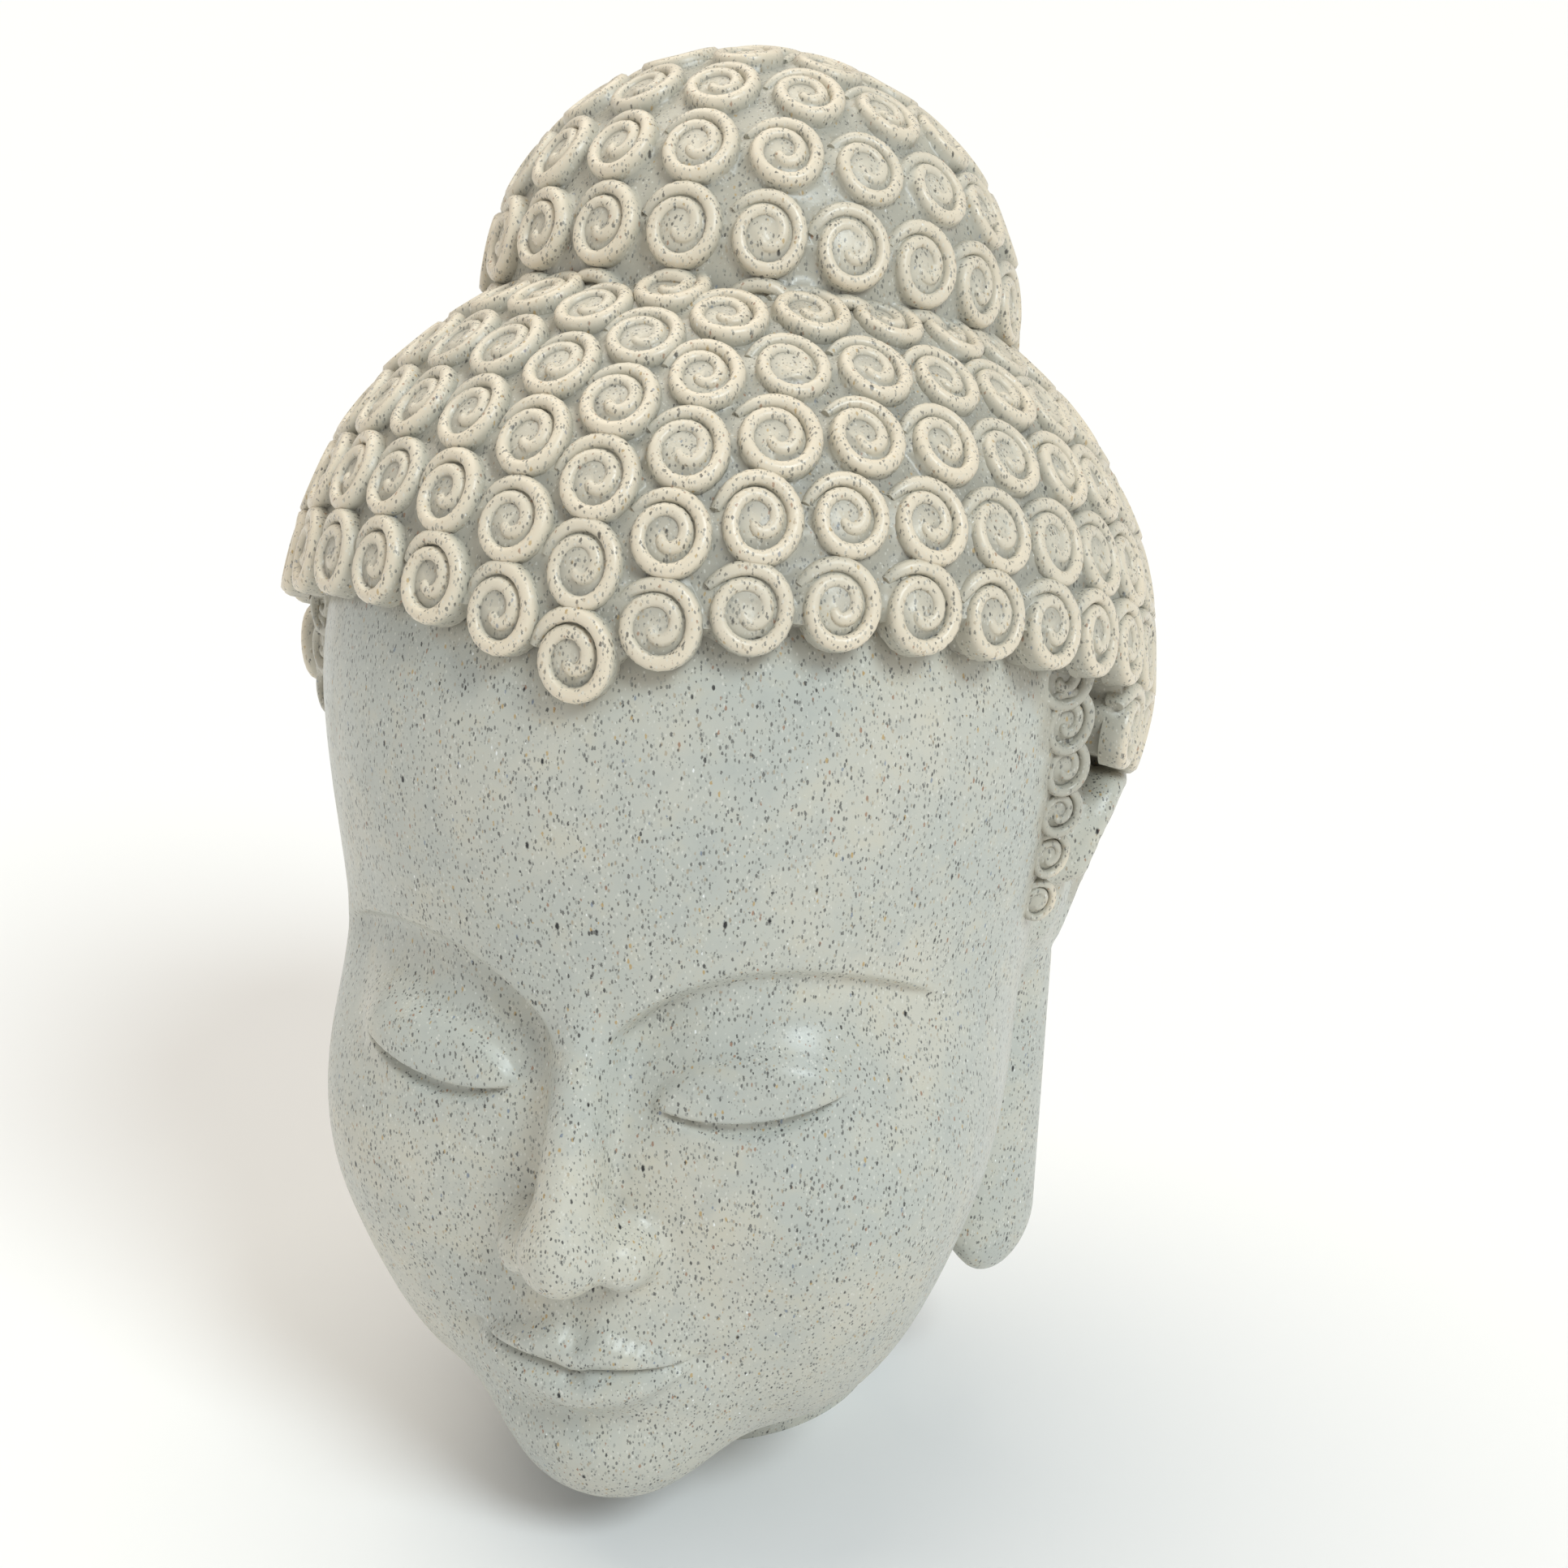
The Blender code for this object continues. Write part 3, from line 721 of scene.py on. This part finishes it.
def note_surface(mesh, curls):
    """Mark hair, its crests and every crease on the finished casting; the stone uses crest
    and crease for its painted light and shade.
    """
    count = len(mesh.vertices)
    co = np.empty(count * 3)
    mesh.vertices.foreach_get("co", co)
    points = co.reshape(-1, 3) / PART + np.array([0, NECK_SET_BACK, 0])
    first, third = nearness(points, curls)
    hair = 1 - ramp(bare(first, third, points) - 0.25, 0.02)
    over = np.minimum(ellipsoid(points, *SCALP), ellipsoid(points, *BUN))
    over = np.minimum(over, skin_form(points))
    note(mesh, "hair", hair)
    note(mesh, "crest", np.clip(over / CURL_RISE, -0.5, 1.2))
    note(mesh, "crease", np.clip(hollows(mesh) * 3, -1, 1))


def casting():
    """The whole head: carved skin, beds of hair and wound coils in one closed piece."""
    skin = skin_mesh()
    smooth_ears(skin)
    skin = thinned(skin, SKIN_TRIANGLES)
    cut_flat(skin)
    head = bpy.data.objects.new("speckled_stone_head", skin)
    bpy.context.scene.collection.objects.link(head)
    scalp, temples, bun, curls, bends = all_curls()
    forms = [hair_bed("scalp_bed", scalp, SCALP), hair_bed("bun_bed", bun, BUN)]
    forms += temple_bosses(temples) + coil_meshes(curls, bends)
    mesh = joined(head, forms)
    mesh = thinned(mesh, MOST_TRIANGLES)
    without_crumbs(mesh)
    mesh.name = "speckled_stone_head"
    head.data = mesh
    note_surface(mesh, curls)
    mesh.shade_smooth()
    mesh.set_sharp_from_angle(angle=math.radians(SHARP_ANGLE))
    return head


class Bench:
    """Lays out and joins the nodes of one tree, left to right."""

    def __init__(self, tree):
        self.tree = tree
        self.count = 0

    def add(self, kind, label="", **settings):
        """A new node with a label and its settings."""
        node = self.tree.nodes.new(kind)
        node.label = label
        node.location = (220 * (self.count // 4), -260 * (self.count % 4))
        self.count += 1
        for key, value in settings.items():
            setattr(node, key, value)
        return node

    def put(self, socket, value):
        """Give a socket a number or colour, or join it to another socket."""
        if isinstance(value, bpy.types.NodeSocket):
            self.tree.links.new(value, socket)
        else:
            socket.default_value = value

    def math(self, operation, a, b, label="", clamp=False):
        """One sum on two numbers or sockets."""
        node = self.add("ShaderNodeMath", label, operation=operation, use_clamp=clamp)
        self.put(node.inputs[0], a)
        self.put(node.inputs[1], b)
        return node.outputs[0]

    def between(self, value, low, high, to_low=0.0, to_high=1.0, label=""):
        """Carry a value from one range to another, held at the ends."""
        node = self.add("ShaderNodeMapRange", label, interpolation_type="SMOOTHSTEP")
        for socket, amount in zip(node.inputs, (value, low, high, to_low, to_high)):
            self.put(socket, amount)
        return node.outputs[0]

    def blend(self, share, one, other, label=""):
        """Blend two colours by a share from 0 to 1."""
        node = self.add("ShaderNodeMix", label, data_type="RGBA", blend_type="MIX")
        self.put(node.inputs["Factor"], share)
        self.put(node.inputs[6], one)
        self.put(node.inputs[7], other)
        return node.outputs[2]

    def noise(self, where, scale, detail, rough, label):
        """Soft clouds of a given fineness."""
        node = self.add("ShaderNodeTexNoise", label)
        self.put(node.inputs["Vector"], where)
        self.put(node.inputs["Scale"], scale)
        self.put(node.inputs["Detail"], detail)
        self.put(node.inputs["Roughness"], rough)
        return node

    def cells(self, where, scale, label):
        """Grains packed side by side."""
        node = self.add("ShaderNodeTexVoronoi", label)
        self.put(node.inputs["Vector"], where)
        self.put(node.inputs["Scale"], scale)
        return node


def fleck_group():
    """Scattered flecks of crushed stone: how fine, how many, how large, how they lie."""
    tree = bpy.data.node_groups.new("stone flecks", "ShaderNodeTree")
    for name, kind, value in (("Vector", "NodeSocketVector", None),
                              ("Scale", "NodeSocketFloat", 300.0),
                              ("Share", "NodeSocketFloat", 0.1),
                              ("Size", "NodeSocketFloat", 0.4),
                              ("Turn", "NodeSocketVector", None)):
        socket = tree.interface.new_socket(name, in_out="INPUT", socket_type=kind)
        if value is not None:
            socket.default_value = value
    tree.interface.new_socket("Flecks", in_out="OUTPUT", socket_type="NodeSocketFloat")
    bench = Bench(tree)
    given = bench.add("NodeGroupInput").outputs
    lie = bench.add("ShaderNodeMapping", "how the flecks lie")
    bench.put(lie.inputs["Vector"], given["Vector"])
    bench.put(lie.inputs["Rotation"], given["Turn"])
    bench.put(lie.inputs["Location"], given["Turn"])
    bench.put(lie.inputs["Scale"], (1.0, 1.0, 0.5))
    grain = bench.cells(lie.outputs[0], given["Scale"], "grains")
    draw = bench.add("ShaderNodeSeparateColor", "draw of each grain")
    bench.put(draw.inputs[0], grain.outputs["Color"])
    chosen = bench.math("LESS_THAN", draw.outputs[0], given["Share"], "some grains")
    reach = bench.math("MULTIPLY", given["Size"],
                       bench.between(draw.outputs[1], 0.0, 1.0, 0.45, 1.2), "grain size")
    inside = bench.math("DIVIDE", bench.math("SUBTRACT", reach, grain.outputs["Distance"]),
                        0.14, "soft rim", clamp=True)
    mask = bench.math("MULTIPLY", chosen, inside)
    out = bench.add("NodeGroupOutput")
    bench.put(out.inputs["Flecks"], mask)
    return tree


# Flecks: colour, how strongly they show, grains per metre, share of grains, size in
# a grain, how they lie
FLECKS = (
    ("pale grit", (0.70, 0.69, 0.63, 1), 0.6, 2000, 0.25, 0.42, (0.3, 1.1, 0.2)),
    ("faint grit", (0.27, 0.27, 0.245, 1), 0.66, 1800, 0.34, 0.44, (1.4, 0.3, 0.9)),
    ("tan grit", (0.36, 0.26, 0.15, 1), 0.55, 1600, 0.13, 0.41, (0.2, 2.1, 1.6)),
    ("rust", (0.30, 0.13, 0.06, 1), 0.75, 1400, 0.030, 0.39, (2.2, 0.7, 0.4)),
    ("ochre", (0.46, 0.29, 0.08, 1), 0.75, 1350, 0.035, 0.39, (0.9, 1.9, 2.4)),
    ("blue", (0.13, 0.18, 0.27, 1), 0.7, 1350, 0.014, 0.38, (1.7, 1.3, 0.1)),
    ("glint", (0.86, 0.87, 0.86, 1), 0.9, 1500, 0.008, 0.32, (2.6, 2.0, 1.2)),
    ("grey", (0.14, 0.142, 0.13, 1), 0.85, 1750, 0.26, 0.42, (0.6, 0.2, 2.9)),
    ("grey across", (0.11, 0.108, 0.10, 1), 0.85, 1600, 0.18, 0.41, (1.9, 2.7, 0.8)),
    ("dark", (0.045, 0.044, 0.042, 1), 0.92, 1350, 0.055, 0.38, (2.9, 1.5, 2.2)),
    ("black", (0.015, 0.015, 0.016, 1), 1.0, 620, 0.026, 0.28, (1.1, 0.5, 1.8)),
)


def speckled_stone():
    """Off-white cast stone with crushed stone in it, satin, warmer over the hair, with
    painted light on the coil crests and painted shade in the grooves and creases.
    """
    material = bpy.data.materials.new("speckled stone")
    material.use_nodes = True
    tree = material.node_tree
    shader = tree.nodes["Principled BSDF"]
    bench = Bench(tree)
    where = bench.add("ShaderNodeTexCoord").outputs["Object"]
    hair = bench.add("ShaderNodeAttribute", "hair", attribute_name="hair").outputs["Fac"]
    crest = bench.add("ShaderNodeAttribute", "crest", attribute_name="crest").outputs["Fac"]
    crease = bench.add("ShaderNodeAttribute", "crease",
                       attribute_name="crease").outputs["Fac"]

    cloud = bench.noise(where, 18.0, 5.0, 0.6, "clouds in the stone").outputs["Fac"]
    colour = bench.blend(bench.between(cloud, 0.36, 0.66), (0.485, 0.50, 0.455, 1),
                         (0.585, 0.565, 0.485, 1), "cast stone")
    patch = bench.noise(where, 130.0, 4.0, 0.6, "patches").outputs["Fac"]
    colour = bench.blend(bench.between(patch, 0.50, 0.72, 0.0, 0.30), colour,
                         (0.62, 0.57, 0.44, 1), "warm patches")
    colour = bench.blend(bench.between(patch, 0.48, 0.30, 0.0, 0.35), colour,
                         (0.405, 0.425, 0.40, 1), "grey patches")
    warm = bench.blend(0.50, colour, (0.64, 0.575, 0.45, 1), "warm hair")
    # Painted light: the raised crests of the coils are made lighter and warmer, as where
    # light falls on them.
    warm = bench.blend(bench.between(crest, 0.45, 1.05, 0.0, 0.9), warm,
                       (0.79, 0.685, 0.53, 1), "painted light on crests")
    colour = bench.blend(hair, colour, warm, "hair over skin")
    # Painted shade: the grooves between the coils, below their crests, are darkened.
    groove_shade = bench.math("MULTIPLY", bench.between(crest, 0.85, 0.1), hair, "grooves")
    colour = bench.blend(bench.math("MULTIPLY", groove_shade, 0.40), colour,
                         (0.27, 0.265, 0.225, 1), "painted shade in the grooves")
    # Painted shade: every crease and hollow of the carving is darkened.
    crease_shade = bench.between(crease, 0.12, 0.75, 0.0, 0.55)
    colour = bench.blend(crease_shade, colour, (0.28, 0.27, 0.235, 1), "painted shade in the creases")

    wobble = bench.noise(where, 2600.0, 2.0, 0.5, "ragged edges")
    drift = bench.add("ShaderNodeVectorMath", "ragged places", operation="MULTIPLY_ADD")
    bench.put(drift.inputs[0], wobble.outputs["Color"])
    bench.put(drift.inputs[1], (0.0004, 0.0004, 0.0004))
    bench.put(drift.inputs[2], where)
    flecks = fleck_group()
    shown = bench.between(hair, 0.0, 1.0, 1.0, 0.82)
    for name, shade, strength, scale, share, size, turn in FLECKS:
        layer = bench.add("ShaderNodeGroup", name, node_tree=flecks)
        bench.put(layer.inputs["Vector"], drift.outputs[0])
        for socket, value in zip(("Scale", "Share", "Size", "Turn"),
                                 (scale, share, size, turn)):
            bench.put(layer.inputs[socket], value)
        seen = bench.math("MULTIPLY", layer.outputs[0],
                          bench.math("MULTIPLY", shown, strength, name), name)
        colour = bench.blend(seen, colour, shade, name)
    bench.put(shader.inputs["Base Color"], colour)

    grit = bench.noise(where, 1500.0, 3.0, 0.6, "fine grit").outputs["Fac"]
    wear = bench.noise(where, 70.0, 3.0, 0.55, "handling").outputs["Fac"]
    rough = bench.math("ADD", bench.between(wear, 0.3, 0.75, 0.30, 0.42),
                       bench.between(grit, 0.3, 0.7, -0.03, 0.05), "satin")
    bench.put(shader.inputs["Roughness"], rough)
    pits = bench.cells(where, 420.0, "pits").outputs["Distance"]
    pit = bench.between(pits, 0.0, 0.20, -1.0, 0.0)
    height = bench.math("ADD", bench.math("MULTIPLY", grit, 0.5),
                        bench.math("MULTIPLY", pit, 0.6), "surface")
    bump = bench.add("ShaderNodeBump", "cast surface")
    bench.put(bump.inputs["Strength"], 0.35)
    bench.put(bump.inputs["Distance"], 0.0002)
    bench.put(bump.inputs["Height"], height)
    bench.put(shader.inputs["Normal"], bump.outputs[0])
    shader.inputs["Specular IOR Level"].default_value = 0.5
    return material


FLOOR_SHADE = 0.86
FLOOR_SIZE = 200


def pale_floor():
    """A plain pale studio floor under the head."""
    bpy.ops.mesh.primitive_plane_add(size=FLOOR_SIZE, location=(0, 0, 0))
    floor = bpy.context.object
    floor.name = "studio_floor"
    material = bpy.data.materials.new("pale floor")
    material.use_nodes = True
    shader = material.node_tree.nodes["Principled BSDF"]
    shader.inputs["Base Color"].default_value = (FLOOR_SHADE, FLOOR_SHADE, FLOOR_SHADE, 1)
    shader.inputs["Roughness"].default_value = 0.8
    shader.inputs["Specular IOR Level"].default_value = 0.2
    floor.data.materials.append(material)


# Lights: name, direction toward it, strength, spread in degrees, colour
SKY_STRENGTH = 0.41
LIGHTS = (
    ("window", (0.66, -0.50, 0.80), 1.68, 22, (0.85, 0.955, 1.0)),
    ("lamp", (-0.30, 0.25, 1.0), 1.60, 60, (1.0, 0.93, 0.81)),
)


def soft_sun(name, direction, strength, spread, colour):
    """A broad soft light from one side, even over the whole floor."""
    data = bpy.data.lights.new(name, "SUN")
    data.energy = strength
    data.angle = math.radians(spread)
    data.color = colour
    lamp = bpy.data.objects.new(name, data)
    lamp.rotation_euler = Vector(direction).to_track_quat("Z", "Y").to_euler()
    bpy.context.scene.collection.objects.link(lamp)


def studio():
    """Even white surroundings, a cool window at the right and a warm lamp above."""
    world = bpy.data.worlds.new("white studio")
    world.use_nodes = True
    sky = world.node_tree.nodes["Background"]
    sky.inputs["Color"].default_value = (1.0, 1.0, 1.0, 1)
    sky.inputs["Strength"].default_value = SKY_STRENGTH
    bpy.context.scene.world = world
    for light in LIGHTS:
        soft_sun(*light)
    bpy.context.scene.view_settings.view_transform = "Standard"


# Camera: turned to the head's left, looking down, a slight roll
CAMERA_TURN = 14.6
CAMERA_DOWN = 19.0
CAMERA_ROLL = 1.7
CAMERA_PLACE = (0.1451, -0.5041, 0.3265)
FOCAL_SHARE = 3000 / 1932       # focal length as a share of the image's width


def camera():
    """The photograph's viewpoint."""
    data = bpy.data.cameras.new("camera")
    data.sensor_width = 36.0
    data.lens = 36.0 * FOCAL_SHARE
    data.clip_start = 0.01
    cam = bpy.data.objects.new("camera", data)
    turn, down, roll = (math.radians(a) for a in (CAMERA_TURN, CAMERA_DOWN, CAMERA_ROLL))
    back = Vector((math.sin(turn) * math.cos(down), -math.cos(turn) * math.cos(down),
                   math.sin(down)))
    right = Vector((math.cos(turn), math.sin(turn), 0))
    up = back.cross(right)
    across = math.cos(roll) * right + math.sin(roll) * up
    upward = math.cos(roll) * up - math.sin(roll) * right
    cam.matrix_world = Matrix((
        (across.x, upward.x, back.x, CAMERA_PLACE[0]),
        (across.y, upward.y, back.y, CAMERA_PLACE[1]),
        (across.z, upward.z, back.z, CAMERA_PLACE[2]),
        (0, 0, 0, 1)))
    bpy.context.scene.collection.objects.link(cam)
    bpy.context.scene.camera = cam


def dress_head():
    """Put the finished casting in the place of the CAD solid."""
    head = casting()
    head.data.materials.clear()
    head.data.materials.append(speckled_stone())
    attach(head, "root")
    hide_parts("buddha_head")


camera()
dress_head()
pale_floor()
studio()
